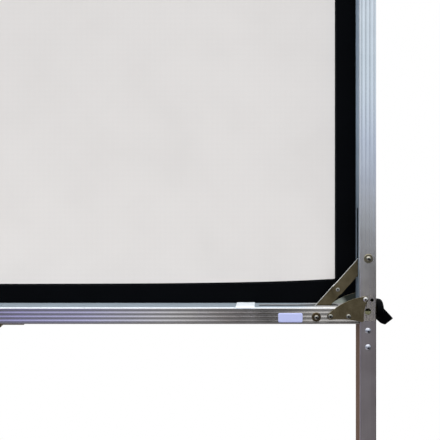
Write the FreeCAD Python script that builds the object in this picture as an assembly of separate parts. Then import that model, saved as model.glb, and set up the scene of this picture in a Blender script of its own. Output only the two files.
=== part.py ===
"""Outdoor projection screen on a folding frame of grooved square tubes.

The frame stands in the XZ plane and its fabric hangs on the +Y side. X runs along the rails
and Z is up. The origin is on the floor, midway between the two feet. Each corner is modelled
once, at the lower right, and mirrored to the other corners. All lengths are in millimetres.
"""
import FreeCAD, Part
import math
import os

# Picture and frame
image_width = 2657.0
image_height = 1494.0
visible_border = 40.0
border_overlap = 26.0
frame_lift = 620.0

# Tubes
tube_size = 32.0
tube_wall = 2.0
tube_round = 2.5
groove_pitch = 7.5
groove_width = 2.6
groove_depth = 0.7
groove_count = 4
rail_end_gap = 0.3
running_gap = 0.05
side_gap = 0.1
slip_gap = 0.3

# Corner plates, their rivets and the pivot that the rail folds about
plate_thickness = 2.0
plate_gap = 0.2
pivot_inset = 11.0
pivot_rise = 15.0
pivot_radius = 4.0
pivot_lobe = 5.6
far_rivet_reach = 55.0
near_rivet_reach = 21.0
rivet_drop = 1.0
rivet_radius = 3.0
rivet_lobe = 6.0
rivet_head_radius = 4.6
rivet_head_height = 1.2
rivet_recess_radius = 2.1
recess_share = 0.6
pivot_head_radius = 4.8
plate_belly = 6.5
plate_heel_reach = 7.0
plate_heel_rise = 5.0
plate_heel_swell = 0.4
plate_heel_corner_in = 0.6
plate_heel_corner_up = 0.9
plate_sole_rise = 3.0
plate_waist_in = 3.2
plate_waist_drop = 1.5

# Folding brace
link_width = 21.0
link_thickness = 3.0
link_gap = 0.2
elbow_share = 0.44
elbow_head_radius = 4.5
elbow_head_height = 0.7
rail_bolt_reach = 81.4
rail_bolt_drop = 2.4
upright_bolt_reach = 91.7
upright_bolt_offset = 0.75
bolt_radius = 4.0
bolt_head_radius = 5.0
bolt_head_height = 2.2
washer_radius = 8.8
washer_thickness = 1.2
washer_top_radius = 7.8
bolt_recess_radius = 1.9
bush_radius = 7.0
slot_width = 9.0
rail_slot_outward = 108.0
rail_slot_inward = 45.0
upright_slot_up = 94.0
upright_slot_down = 38.0

# Hinges between the rail segments
hinge_offset = 4.0
hinge_leaf_length = 46.0
hinge_leaf_thickness = 2.0
hinge_width = 24.0
knuckle_radius = 3.4
knuckle_width = 8.0
knuckle_gap = 0.3
hinge_pin_radius = 2.0
hinge_pin_head_radius = 3.0
hinge_pin_head_height = 1.0

# Legs, clamps and feet
leg_seam_rise = 6.0
leg_seam_gap = 0.2
spigot_wall = 3.0
spigot_in_upright = 33.0
spigot_in_leg = 64.0
leg_rivet_first = 18.0
leg_rivet_spacing = 31.0
leg_rivet_radius = 3.0
leg_dome_radius = 5.6
leg_dome_height = 2.4
spigot_notch_width = 16.0
clamp_rise = 8.8
window_rise = 8.0
window_radius = 6.0
lug_hole_radius = 3.2
lug_hole_offset = 7.5
lug_hole_rise = 29.7
clamp_screw_radius = 4.0
clamp_bush_radius = 8.0
clamp_bush_flange = 11.0
clamp_bush_flange_thickness = 1.5
knob_base_radius = 19.8
knob_top_radius = 18.0
knob_height = 13.0
knob_gap = 0.3
knob_round = 5.5
lever_width = 16.0
lever_round = 2.0
lever_root_rise = 5.6
lever_root_reach = 1.0
lever_shoulder_reach = 12.0
lever_upper_drop = 16.5
lever_upper_reach = 32.5
lever_lower_drop = 28.3
lever_lower_reach = 17.0
lever_heel_drop = 25.9
lever_heel_reach = 9.2
lever_sole_drop = 19.0
foot_length = 900.0
foot_width = 50.0
foot_height = 25.0
foot_wall = 2.5
foot_cap_wall = 4.0
foot_cap_length = 45.0
foot_cap_round = 3.0
socket_height = 90.0
socket_wall = 3.0
foot_bolt_rise = 45.0
foot_bolt_radius = 4.0
foot_bolt_head_radius = 7.0
foot_bolt_head_height = 4.0
end_cap_thickness = 3.0
end_cap_depth = 18.0
end_cap_round = 1.0

# Fabric and its snaps
fabric_standoff = 4.3
fabric_thickness = 0.6
border_thickness = 1.0
snap_radius = 6.0
snap_cap_radius = 7.5
snap_cap_height = 1.5
snap_corner_gap = 230.0
snaps_per_rail = 8
snaps_per_upright = 5

# Places worked out from the sizes above
V = FreeCAD.Vector
half_tube = tube_size / 2
inner_half = half_tube - tube_wall
opening_width = image_width + 2 * visible_border
opening_height = image_height + 2 * visible_border
upright_x = opening_width / 2 + half_tube
rail_z = frame_lift + half_tube
frame_top = frame_lift + opening_height + 2 * tube_size
mid_z = (frame_lift + frame_top) / 2
plate_front = half_tube + plate_gap
plate_back = plate_front + plate_thickness
slot_cut_depth = 2 * tube_wall
slot_cut_seat = half_tube - 0.75 * slot_cut_depth

pivot = V(upright_x - half_tube + pivot_inset, 0, rail_z + half_tube + pivot_rise)
far_rivet = V(upright_x - half_tube - far_rivet_reach, 0, rail_z - rivet_drop)
near_rivet = V(upright_x - half_tube - near_rivet_reach, 0, rail_z - rivet_drop)
rail_bolt = V(upright_x - half_tube - rail_bolt_reach, 0, rail_z - rail_bolt_drop)
upright_bolt = V(upright_x + upright_bolt_offset, 0, rail_z + half_tube + upright_bolt_reach)
elbow = rail_bolt + (upright_bolt - rail_bolt) * elbow_share
outer_joint_x = pivot.x / 2
leg_top = frame_lift + leg_seam_rise - leg_seam_gap
foot_top = foot_cap_wall + foot_height


def save(node, *solids):
    """Write the solids of one node as a STEP file."""
    shape = solids[0] if len(solids) == 1 else Part.makeCompound(list(solids))
    shape.exportStep(f"parts/{node}.step")


def to_left(shape):
    """Mirror a right-hand shape to the left side of the frame."""
    return shape.mirror(V(0, 0, 0), V(1, 0, 0))


def to_top(shape):
    """Mirror a lower shape to the upper half of the frame."""
    return shape.mirror(V(0, 0, mid_z), V(0, 0, 1))


def rod_y(radius, y_from, y_to, place):
    """A round bar along Y through a place in the frame plane."""
    return Part.makeCylinder(radius, y_to - y_from, V(place.x, y_from, place.z), V(0, 1, 0))


def rod_x(radius, x_from, x_to, place):
    """A round bar along X through a place given by its y and z."""
    return Part.makeCylinder(radius, x_to - x_from, V(x_from, place.y, place.z), V(1, 0, 0))


def upright_edges(block):
    """The four edges of a block that run along Z."""
    return [edge for edge in block.Edges if abs(edge.tangentAt(edge.FirstParameter).z) > 0.99]


def square_bar(size, length, radius):
    """A square bar along Z from the origin, with its long edges rounded."""
    bar = Part.makeBox(size, size, length, V(-size / 2, -size / 2, 0))
    return bar.makeFillet(radius, upright_edges(bar))


def square_tube(length):
    """A plain square tube along Z from the origin."""
    bore_size = 2 * inner_half
    bore = Part.makeBox(bore_size, bore_size, length, V(-inner_half, -inner_half, 0))
    return square_bar(tube_size, length, tube_round).cut(bore)


def grooved_tube(length):
    """A square tube along Z with shallow grooves along its faces towards -Y and +Y."""
    cutters = []
    for index in range(groove_count):
        middle = (index - (groove_count - 1) / 2) * groove_pitch
        section = [
            V(middle - groove_width / 2, -half_tube, 0),
            V(middle - groove_width / 2 + groove_depth, -half_tube + groove_depth, 0),
            V(middle + groove_width / 2 - groove_depth, -half_tube + groove_depth, 0),
            V(middle + groove_width / 2, -half_tube, 0),
        ]
        wire = Part.makePolygon(section + section[:1])
        groove = Part.Face(wire).extrude(V(0, 0, length))
        cutters.append(groove)
        cutters.append(groove.mirror(V(0, 0, 0), V(0, 1, 0)))
    return square_tube(length).cut(cutters)


def along_x(tube, x_from, z):
    """Lay a tube that stands on the origin along +X, starting at x_from."""
    laid = tube.copy()
    laid.rotate(V(0, 0, 0), V(0, 1, 0), 90)
    laid.translate(V(x_from, 0, z))
    return laid


def round_slot(length, depth):
    """A slot cutter along X from the origin, rounded at both ends and depth deep along Z."""
    radius = slot_width / 2
    middle = Part.makeBox(length - slot_width, slot_width, depth, V(radius, -radius, 0))
    near_end = Part.makeCylinder(radius, depth, V(radius, 0, 0))
    far_end = Part.makeCylinder(radius, depth, V(length - radius, 0, 0))
    return middle.fuse([near_end, far_end])


def arc(start, through, end):
    """An arc edge through three points."""
    return Part.Arc(start, through, end).toShape()


def button(place, y_from, direction, foot_radius, height, recess_radius=0):
    """A domed head that stands on y_from and rises towards direction, with a round recess if it has one."""
    crown_radius = (foot_radius ** 2 + height ** 2) / (2 * height)
    half_turn = math.asin(foot_radius / crown_radius) / 2
    shoulder_height = height - crown_radius + crown_radius * math.cos(half_turn)
    shoulder = V(crown_radius * math.sin(half_turn), 0, shoulder_height)
    foot = V(foot_radius, 0, 0)
    top = V(0, 0, height)
    inside = Part.makePolygon([top, V(0, 0, 0), foot])
    section = Part.Face(Part.Wire([arc(foot, shoulder, top)] + inside.Edges))
    head = section.revolve(V(0, 0, 0), V(0, 0, 1), 360)
    if recess_radius:
        floor = V(0, 0, height * (1 - recess_share))
        head = head.cut(Part.makeCylinder(recess_radius, height, floor))
    head.rotate(V(0, 0, 0), V(1, 0, 0), -90 * direction)
    head.translate(V(place.x, y_from, place.z))
    return head


def through_rivet(place, radius, head_radius, head_height, seat, recess_radius=0):
    """A rivet through the frame plane with a head at each end, at a distance seat from it."""
    shank = rod_y(radius, -seat, seat, place)
    front = button(place, -seat, -1, head_radius, head_height, recess_radius)
    back = button(place, seat, 1, head_radius, head_height, recess_radius)
    return shank.fuse([front, back])


# Rail segments: the outer one carries the corner, the inner one reaches the middle of the frame
def outer_rail():
    """Rail segment beside the upright, slotted on its top face for the folding brace."""
    start = outer_joint_x + rail_end_gap / 2
    end = upright_x - half_tube - rail_end_gap
    rail = along_x(grooved_tube(end - start), start, rail_z)
    slot = round_slot(rail_slot_outward + rail_slot_inward, slot_cut_depth)
    slot.translate(V(rail_bolt.x - rail_slot_outward, 0, rail_z + slot_cut_seat))
    holes = [rod_y(rivet_radius, -half_tube, half_tube, place) for place in (far_rivet, near_rivet)]
    holes.append(rod_y(bolt_radius, -half_tube, half_tube, rail_bolt))
    return rail.cut(holes + [slot])


def inner_rail():
    """Rail segment from the quarter joint to the middle joint."""
    start = rail_end_gap / 2
    end = outer_joint_x - rail_end_gap / 2
    return along_x(grooved_tube(end - start), start, rail_z)


# Hinges: leaves lie flat on the rail faces and turn on a pin along Y
def hinge_leaf(knuckle_spans, bore_radius):
    """A leaf that runs along +X from a pin at the origin, under a rail face hinge_offset above."""
    face = hinge_offset - plate_gap
    start = knuckle_radius + knuckle_gap
    plate = Part.makeBox(
        hinge_leaf_length - start, hinge_width, hinge_leaf_thickness,
        V(start, -hinge_width / 2, face - hinge_leaf_thickness),
    )
    knuckles = []
    bores = []
    for y_from, y_to in knuckle_spans:
        width = y_to - y_from
        knuckles.append(Part.makeCylinder(knuckle_radius, width, V(0, y_from, 0), V(0, 1, 0)))
        neck_foot = V(rail_end_gap, y_from, face - hinge_leaf_thickness)
        knuckles.append(Part.makeBox(start, width, hinge_leaf_thickness, neck_foot))
        bores.append(Part.makeCylinder(bore_radius, width, V(0, y_from, 0), V(0, 1, 0)))
    return plate.fuse(knuckles).removeSplitter().cut(bores)


def hinge_pieces(joint_x, below):
    """The leaf on +X with its pin, and the leaf on -X, for a joint under or over the rail."""
    half_width = hinge_width / 2
    side_spans = [(-half_width, -half_width + knuckle_width), (half_width - knuckle_width, half_width)]
    middle_reach = half_width - knuckle_width - knuckle_gap
    right_leaf = hinge_leaf(side_spans, hinge_pin_radius)
    left_leaf = to_left(hinge_leaf([(-middle_reach, middle_reach)], hinge_pin_radius + running_gap))
    centre = V(0, 0, 0)
    pin = rod_y(hinge_pin_radius, -half_width, half_width, centre)
    head_end = half_width + hinge_pin_head_height
    front_head = rod_y(hinge_pin_head_radius, -head_end, -half_width, centre)
    back_head = rod_y(hinge_pin_head_radius, half_width, head_end, centre)
    pieces = [right_leaf, pin.fuse([front_head, back_head]), left_leaf]
    height = rail_z - half_tube - hinge_offset
    if not below:
        pieces = [piece.mirror(V(0, 0, 0), V(0, 0, 1)) for piece in pieces]
        height = rail_z + half_tube + hinge_offset
    for piece in pieces:
        piece.translate(V(joint_x, 0, height))
    return pieces


# Corner plates: a curved triangle from the rail's rivets up to the pivot on the upright
def corner_plate():
    """The front plate of the lower right corner."""
    lobe_foot = V(far_rivet.x, 0, far_rivet.z - rivet_lobe)
    lobe_side = V(far_rivet.x - rivet_lobe, 0, far_rivet.z)
    lobe_top = far_rivet + V(-rivet_lobe, 0, rivet_lobe) * math.sqrt(0.5)
    heel = V(upright_x - half_tube + plate_heel_reach, 0, rail_z - half_tube + plate_heel_rise)
    heel_left = heel + V(-plate_heel_rise, 0, 0)
    heel_right = heel + V(plate_heel_swell, 0, plate_heel_rise)
    heel_corner = heel + V(-plate_heel_corner_in, 0, plate_heel_corner_up)
    sole = (lobe_foot + heel_left) * 0.5 + V(0, 0, plate_sole_rise)
    pivot_right = pivot + V(pivot_lobe, 0, 0)
    pivot_top = pivot + V(0, 0, pivot_lobe)
    pivot_corner = pivot + V(pivot_lobe, 0, pivot_lobe) * math.sqrt(0.5)
    waist = (heel_right + pivot_right) * 0.5 - V(plate_waist_in, 0, plate_waist_drop)
    rise = pivot_top - lobe_top
    belly = (pivot_top + lobe_top) * 0.5 + V(-rise.z, 0, rise.x).normalize() * plate_belly
    outline = [
        arc(lobe_foot, sole, heel_left),
        arc(heel_left, heel_corner, heel_right),
        arc(heel_right, waist, pivot_right),
        arc(pivot_right, pivot_corner, pivot_top),
        arc(pivot_top, belly, lobe_top),
        arc(lobe_top, lobe_side, lobe_foot),
    ]
    plate = Part.Face(Part.Wire(outline)).extrude(V(0, plate_thickness, 0))
    plate.translate(V(0, -plate_back, 0))
    holes = [rod_y(rivet_radius, -plate_back, -plate_front, place) for place in (far_rivet, near_rivet)]
    holes.append(rod_y(pivot_radius + running_gap, -plate_back, -plate_front, pivot))
    return plate.cut(holes)


def corner_plates():
    """The front and back plates of the lower right corner."""
    front = corner_plate()
    return [front, front.mirror(V(0, 0, 0), V(0, 1, 0))]


# Folding brace: two flat links side by side, each on a bolt through its own tube
def brace_link(bolt, y_from, head_side):
    """A round-ended link from a bolt to the elbow, with its half of the elbow rivet."""
    reach = elbow - bolt
    length = reach.Length
    radius = link_width / 2
    bar = Part.makeBox(length, link_thickness, link_width, V(0, y_from, -radius))
    ends = [rod_y(radius, y_from, y_from + link_thickness, V(x, 0, 0)) for x in (0, length)]
    link = bar.fuse(ends).removeSplitter()
    link = link.cut(rod_y(bolt_radius + running_gap, y_from, y_from + link_thickness, V(0, 0, 0)))
    seat = y_from + link_thickness if head_side > 0 else y_from
    end = V(length, 0, 0)
    head = button(end, seat, head_side, elbow_head_radius, elbow_head_height, rivet_recess_radius)
    link = link.fuse(head)
    link.rotate(V(0, 0, 0), V(0, 1, 0), -math.degrees(math.atan2(reach.z, reach.x)))
    link.translate(bolt)
    return link


def rail_link():
    """The link in the rail, behind the frame's middle plane."""
    return brace_link(rail_bolt, link_gap, 1)


def upright_link():
    """The link in the upright, in front of the frame's middle plane."""
    return brace_link(upright_bolt, -link_gap - link_thickness, -1)


def washer(place, direction):
    """A dished washer on one face of a tube, around a brace bolt."""
    seat = direction * half_tube
    foot = V(place.x, seat, place.z)
    dish = Part.makeCone(washer_radius, washer_top_radius, washer_thickness, foot, V(0, direction, 0))
    return dish.cut(rod_y(bolt_radius, -plate_back, plate_back, place))


def brace_bolt(place, link_from):
    """A bolt through a tube with its washers, and the bushes that hold the link at mid depth."""
    washer_seat = half_tube + washer_thickness
    bolt = through_rivet(
        place, bolt_radius, bolt_head_radius, bolt_head_height, washer_seat, bolt_recess_radius,
    )
    pieces = [bolt, washer(place, -1), washer(place, 1)]
    bush_spans = [
        (-inner_half, link_from - side_gap),
        (link_from + link_thickness + side_gap, inner_half),
    ]
    for y_from, y_to in bush_spans:
        bore = rod_y(bolt_radius, y_from, y_to, place)
        pieces.append(rod_y(bush_radius, y_from, y_to, place).cut(bore))
    return pieces


def plate_rivet(place, radius, head_radius, seat):
    """A rivet of the corner plates, with hollow heads."""
    return through_rivet(place, radius, head_radius, rivet_head_height, seat, rivet_recess_radius)


def rail_fasteners():
    """Rivets of the corner plates and the brace bolt, all fixed in the rail."""
    places = (far_rivet, near_rivet)
    rivets = [plate_rivet(place, rivet_radius, rivet_head_radius, plate_back) for place in places]
    return rivets + brace_bolt(rail_bolt, link_gap)


def upright_fasteners():
    """Pivot pin and brace bolt of the lower right corner, both fixed in the upright."""
    pin = plate_rivet(pivot, pivot_radius, pivot_head_radius, plate_back + side_gap)
    return [pin] + brace_bolt(upright_bolt, -link_gap - link_thickness)


# Uprights
def corner_cuts():
    """Cutters for the lower right corner of the upright that its upper corner repeats."""
    slot = round_slot(upright_slot_up + upright_slot_down, slot_cut_depth)
    slot.rotate(V(0, 0, 0), V(0, 1, 0), -90)
    slot.translate(V(upright_x - slot_cut_seat, 0, upright_bolt.z - upright_slot_down))
    pivot_hole = rod_y(pivot_radius, -half_tube, half_tube, pivot)
    bolt_hole = rod_y(bolt_radius, -half_tube, half_tube, upright_bolt)
    return [slot, pivot_hole, bolt_hole]


def upright():
    """The right upright, from the leg seam to the top of the frame."""
    foot = frame_lift + leg_seam_rise
    tube = grooved_tube(frame_top - foot)
    tube.translate(V(upright_x, 0, foot))
    cuts = corner_cuts()
    cuts += [to_top(cut) for cut in cuts]
    window = V(upright_x, 0, rail_z + window_rise)
    cuts.append(rod_y(window_radius, -half_tube, -inner_half, window))
    lug_hole = V(upright_x + lug_hole_offset, 0, rail_z + lug_hole_rise)
    cuts.append(rod_y(lug_hole_radius, -half_tube, -inner_half, lug_hole))
    cuts.append(rod_x(clamp_bush_radius, upright_x + inner_half, upright_x + half_tube, clamp_place()))
    return tube.cut(cuts)


def end_cap():
    """The plastic plug in the top of the right upright."""
    flange = square_bar(tube_size, end_cap_thickness, tube_round)
    rim = [edge for edge in flange.Edges if edge.BoundBox.ZMin > end_cap_thickness / 2]
    flange = flange.makeFillet(end_cap_round, rim)
    flange.translate(V(upright_x, 0, frame_top))
    plug = square_bar(2 * (inner_half - plate_gap), end_cap_depth, tube_round)
    plug.translate(V(upright_x, 0, frame_top - end_cap_depth))
    return flange.fuse(plug)


# Legs
def leg():
    """The plain leg tube below the right upright, down to the foot bar."""
    tube = square_tube(leg_top - foot_top)
    tube.translate(V(upright_x, 0, foot_top))
    holes = [rod_y(leg_rivet_radius, -half_tube, half_tube, place) for place in leg_rivet_places()]
    holes.append(rod_y(foot_bolt_radius, -half_tube, half_tube, foot_bolt_place()))
    return tube.cut(holes)


def leg_rivet_places():
    """Centres of the two rivets that hold the spigot in the leg."""
    first = V(upright_x, 0, leg_top - leg_rivet_first)
    return [first, first - V(0, 0, leg_rivet_spacing)]


def leg_spigot():
    """The square spigot that joins the leg to the upright, notched at the top behind the window."""
    size = 2 * (inner_half - slip_gap)
    length = spigot_in_upright + spigot_in_leg
    bore_size = size - 2 * spigot_wall
    bore = Part.makeBox(bore_size, bore_size, length, V(-bore_size / 2, -bore_size / 2, 0))
    spigot = square_bar(size, length, tube_round / 2).cut(bore)
    spigot.translate(V(upright_x, 0, leg_top - spigot_in_leg))
    cuts = [rod_y(leg_rivet_radius, -half_tube, half_tube, place) for place in leg_rivet_places()]
    notch_corner = V(upright_x - spigot_notch_width / 2, -half_tube, rail_z + window_rise)
    cuts.append(Part.makeBox(spigot_notch_width, tube_size, spigot_in_upright, notch_corner))
    return spigot.cut(cuts)


def leg_rivets():
    """The two domed rivets at the top of the leg."""
    rivets = []
    for place in leg_rivet_places():
        rivets.append(through_rivet(place, leg_rivet_radius, leg_dome_radius, leg_dome_height, half_tube))
    return rivets


# Clamp that holds the leg's spigot in the upright
def clamp_place():
    """A point on the clamp screw's axis."""
    return V(upright_x, 0, rail_z + clamp_rise)


def clamp_bush():
    """The threaded bush in the outer wall of the upright."""
    face = upright_x + half_tube
    barrel = rod_x(clamp_bush_radius, face - tube_wall, face, clamp_place())
    flange = rod_x(clamp_bush_flange, face, face + clamp_bush_flange_thickness, clamp_place())
    bore = rod_x(clamp_screw_radius + running_gap, face - tube_wall, face + knob_height, clamp_place())
    return barrel.fuse(flange).cut(bore)


def knob_base_x():
    """The knob's inner face, just off the bush."""
    return upright_x + half_tube + clamp_bush_flange_thickness + knob_gap


def clamp_screw():
    """The screw whose tip presses on the spigot, and whose root is inside the knob."""
    tip = upright_x + inner_half - slip_gap + side_gap
    return rod_x(clamp_screw_radius, tip, knob_base_x() + knob_height / 2, clamp_place())


def knob_hub():
    """The round body of the knob, standing on the origin along Z."""
    profile = Part.makePolygon([
        V(0, 0, 0),
        V(knob_base_radius, 0, 0),
        V(knob_top_radius, 0, knob_height),
        V(0, 0, knob_height),
        V(0, 0, 0),
    ])
    hub = Part.Face(profile).revolve(V(0, 0, 0), V(0, 0, 1), 360)
    rim = [edge for edge in hub.Edges if edge.BoundBox.ZMin > knob_height / 2 and edge.isClosed()]
    return hub.makeFillet(knob_round, rim)


def knob_lever():
    """The broad lever, from the hub outwards to its square tip: X is its drop and Z its reach."""
    outline = Part.makePolygon([
        V(-lever_root_rise, -lever_width / 2, lever_root_reach),
        V(-lever_root_rise, -lever_width / 2, lever_shoulder_reach),
        V(lever_upper_drop, -lever_width / 2, lever_upper_reach),
        V(lever_lower_drop, -lever_width / 2, lever_lower_reach),
        V(lever_heel_drop, -lever_width / 2, lever_heel_reach),
        V(lever_sole_drop, -lever_width / 2, lever_root_reach),
        V(-lever_root_rise, -lever_width / 2, lever_root_reach),
    ])
    lever = Part.Face(outline).extrude(V(0, lever_width, 0))
    return lever.makeFillet(lever_round, lever.Edges)


def clamp_knob():
    """A moulded knob with one lever that leans outwards and down."""
    knob = knob_hub().fuse(knob_lever()).removeSplitter()
    knob = knob.cut(Part.makeCylinder(clamp_screw_radius + running_gap, knob_height / 2 + side_gap))
    knob.rotate(V(0, 0, 0), V(0, 1, 0), 90)
    knob.translate(V(knob_base_x(), 0, clamp_place().z))
    return knob


# Feet
def foot_bolt_place():
    """Centre of the bolt that holds the leg in the foot's socket."""
    return V(upright_x, 0, foot_top + foot_bolt_rise)


def foot():
    """The cross bar of the foot with the socket that takes the leg."""
    bar = Part.makeBox(foot_width, foot_length, foot_height, V(-foot_width / 2, -foot_length / 2, 0))
    lengthwise = [e for e in bar.Edges if abs(e.tangentAt(e.FirstParameter).y) > 0.99]
    bar = bar.makeFillet(tube_round, lengthwise)
    hollow = Part.makeBox(
        foot_width - 2 * foot_wall, foot_length, foot_height - 2 * foot_wall,
        V(-foot_width / 2 + foot_wall, -foot_length / 2, foot_wall),
    )
    bar = bar.cut(hollow)
    bar.translate(V(upright_x, 0, foot_cap_wall))
    socket_bore = tube_size + 2 * slip_gap
    sleeve = square_bar(socket_bore + 2 * socket_wall, socket_height, tube_round)
    bore = Part.makeBox(socket_bore, socket_bore, socket_height, V(-socket_bore / 2, -socket_bore / 2, 0))
    sleeve = sleeve.cut(bore)
    sleeve.translate(V(upright_x, 0, foot_top))
    hole = rod_y(foot_bolt_radius, -tube_size, tube_size, foot_bolt_place())
    return bar.fuse(sleeve).cut(hole)


def foot_caps():
    """The rubber caps on both ends of the foot bar, which stand on the floor."""
    width = foot_width + 2 * foot_cap_wall
    height = foot_height + 2 * foot_cap_wall
    block = Part.makeBox(width, foot_cap_length, height, V(-width / 2, 0, 0))
    block = block.makeFillet(foot_cap_round, block.Edges)
    seat = Part.makeBox(
        foot_width, foot_cap_length, foot_height,
        V(-foot_width / 2, foot_cap_wall, foot_cap_wall),
    )
    cap = block.cut(seat)
    cap.translate(V(upright_x, -foot_length / 2 - foot_cap_wall, 0))
    return [cap, cap.mirror(V(0, 0, 0), V(0, 1, 0))]


def foot_bolt():
    """The bolt across the foot's socket and the leg."""
    seat = half_tube + slip_gap + socket_wall
    return through_rivet(
        foot_bolt_place(), foot_bolt_radius, foot_bolt_head_radius, foot_bolt_head_height, seat,
    )


# Fabric
fabric_front = half_tube + fabric_standoff
border_width = visible_border + border_overlap


def screen_fabric():
    """The white sheet inside the border."""
    corner = V(-image_width / 2, fabric_front, mid_z - image_height / 2)
    return Part.makeBox(image_width, fabric_thickness, image_height, corner)


def fabric_border():
    """Four black strips around the white sheet, the side ones between the other two."""
    outer_width = image_width + 2 * border_width
    low = V(-outer_width / 2, fabric_front, mid_z - image_height / 2 - border_width)
    bottom = Part.makeBox(outer_width, border_thickness, border_width, low)
    side_corner = low + V(0, 0, border_width)
    side = Part.makeBox(border_width, border_thickness, image_height, side_corner)
    return [bottom, to_top(bottom), side, to_left(side)]


def snap_places():
    """Centres of the snaps along the axes of the lower rail and the right upright."""
    rail_half = upright_x - snap_corner_gap
    upright_low = rail_z + snap_corner_gap
    upright_span = 2 * (mid_z - upright_low)
    along_rail = []
    for index in range(snaps_per_rail):
        along_rail.append(V(-rail_half + 2 * rail_half * index / (snaps_per_rail - 1), 0, rail_z))
    along_upright = []
    for index in range(snaps_per_upright):
        along_upright.append(V(upright_x, 0, upright_low + upright_span * index / (snaps_per_upright - 1)))
    return along_rail, along_upright


def snap(place):
    """A snap's socket under the border and its cap over it."""
    back = fabric_front + border_thickness
    socket = rod_y(snap_radius, half_tube + slip_gap, fabric_front, place)
    return [socket, rod_y(snap_cap_radius, back, back + snap_cap_height, place)]


def border_snaps():
    """All snaps round the border."""
    along_rail, along_upright = snap_places()
    pieces = []
    for place in along_rail:
        for piece in snap(place):
            pieces += [piece, to_top(piece)]
    for place in along_upright:
        for piece in snap(place):
            pieces += [piece, to_left(piece)]
    return pieces


os.makedirs("parts", exist_ok=True)

# The four segments of a rail run from the right upright to the left one
outer_segment = outer_rail()
inner_segment = inner_rail()
segments = [outer_segment, inner_segment, to_left(inner_segment), to_left(outer_segment)]
first_joint = hinge_pieces(outer_joint_x, True)
middle_joint = hinge_pieces(0, False)
last_joint = hinge_pieces(-outer_joint_x, True)
leaves = [
    first_joint[:2],
    first_joint[2:] + middle_joint[:2],
    middle_joint[2:] + last_joint[:2],
    last_joint[2:],
]
for index in range(4):
    save(f"bottom_rail_{index + 1}", segments[index])
    save(f"top_rail_{index + 1}", to_top(segments[index]))
    save(f"bottom_hinge_{index + 1}", *leaves[index])
    save(f"top_hinge_{index + 1}", *[to_top(piece) for piece in leaves[index]])

# Corner pieces at the lower right, mirrored to the other three corners
corner_nodes = {
    "corner_plates": corner_plates(),
    "rail_fasteners": rail_fasteners(),
    "rail_link": [rail_link()],
    "upright_link": [upright_link()],
}
for name, pieces in corner_nodes.items():
    save(f"bottom_right_{name}", *pieces)
    save(f"bottom_left_{name}", *[to_left(piece) for piece in pieces])
    upper = [to_top(piece) for piece in pieces]
    save(f"top_right_{name}", *upper)
    save(f"top_left_{name}", *[to_left(piece) for piece in upper])

# Pieces of one side of the screen, mirrored to the other
lower_fasteners = upright_fasteners()
side_nodes = {
    "upright": [upright()],
    "upright_fasteners": lower_fasteners + [to_top(piece) for piece in lower_fasteners],
    "end_cap": [end_cap()],
    "leg": [leg()],
    "leg_spigot": [leg_spigot()],
    "leg_rivets": leg_rivets(),
    "clamp_bush": [clamp_bush()],
    "clamp_screw": [clamp_screw()],
    "clamp_knob": [clamp_knob()],
    "foot": [foot()],
    "foot_caps": foot_caps(),
    "foot_bolt": [foot_bolt()],
}
for name, pieces in side_nodes.items():
    save(f"right_{name}", *pieces)
    save(f"left_{name}", *[to_left(piece) for piece in pieces])

save("screen_fabric", screen_fabric())
save("fabric_border", *fabric_border())
save("border_snaps", *border_snaps())
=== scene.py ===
"""Folding outdoor projection screen: grooved aluminium frame, corner braces, legs and snapped-on fabric."""
import math

import bpy
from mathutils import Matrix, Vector


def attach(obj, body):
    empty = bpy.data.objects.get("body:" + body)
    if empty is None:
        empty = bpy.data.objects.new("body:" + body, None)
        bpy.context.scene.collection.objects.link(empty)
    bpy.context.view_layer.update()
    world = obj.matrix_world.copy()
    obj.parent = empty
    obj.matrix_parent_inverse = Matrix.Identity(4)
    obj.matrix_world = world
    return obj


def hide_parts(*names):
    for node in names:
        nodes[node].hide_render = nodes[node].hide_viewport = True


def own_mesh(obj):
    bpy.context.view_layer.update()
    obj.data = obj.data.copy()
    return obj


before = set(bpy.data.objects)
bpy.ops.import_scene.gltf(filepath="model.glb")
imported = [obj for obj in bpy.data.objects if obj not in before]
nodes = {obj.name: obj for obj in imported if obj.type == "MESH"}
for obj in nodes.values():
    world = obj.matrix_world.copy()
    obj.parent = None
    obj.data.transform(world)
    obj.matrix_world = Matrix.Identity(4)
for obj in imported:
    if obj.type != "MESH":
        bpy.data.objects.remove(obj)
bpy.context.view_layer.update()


# The frame's tubes: uprights and rail segments of square aluminium tube with grooved faces.
# They are extruded, so fine die lines run along each tube, and left with a mill finish.
# The grooved faces shine in streaks, the plain ones are dull, and the grooves are darkened by oxide and
# painted shade.
MM = 0.001
both_sides = ("right", "left")
both_levels = ("bottom", "top")
rail_numbers = (1, 2, 3, 4)
tube_half = 16.0 * MM
upright_x = 1384.5 * MM
rail_z = 636.0 * MM
top_rail_z = 2242.0 * MM
rails_middle = (top_rail_z + rail_z) / 2.0
rail_rib_pitch = 7.52 * MM
upright_rib_pitch = 8.1 * MM
mill_grey = "#e6e8eb"
mill_dull = "#dadce0"
rail_grey = "#f0edea"
rail_dull = "#e4e0dc"
mill_roughness = 0.16
grooved_metallic = 0.92
plain_blue = "#d9ebfa"
plain_roughness = 0.5
upright_plain_from = 0.3  # a face is plain where its normal's part along Y is below this
plain_fade = 0.16
upright_plain_metallic = 0.48
rail_plain_from = 0.86
rail_plain_metallic = 0.15
die_line_width = 1.1 * MM  # real lines are about 0.2 mm wide: drawn coarser, so that they show
die_line_length = 400.0 * MM
die_line_shade = (0.12, 0.40)
die_line_bump = 0.12
die_line_depth = 0.05 * MM
handling_patch = 55.0 * MM
handling_range = (0.3, 0.7)
handling_roughness = (-0.03, 0.04)
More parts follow.
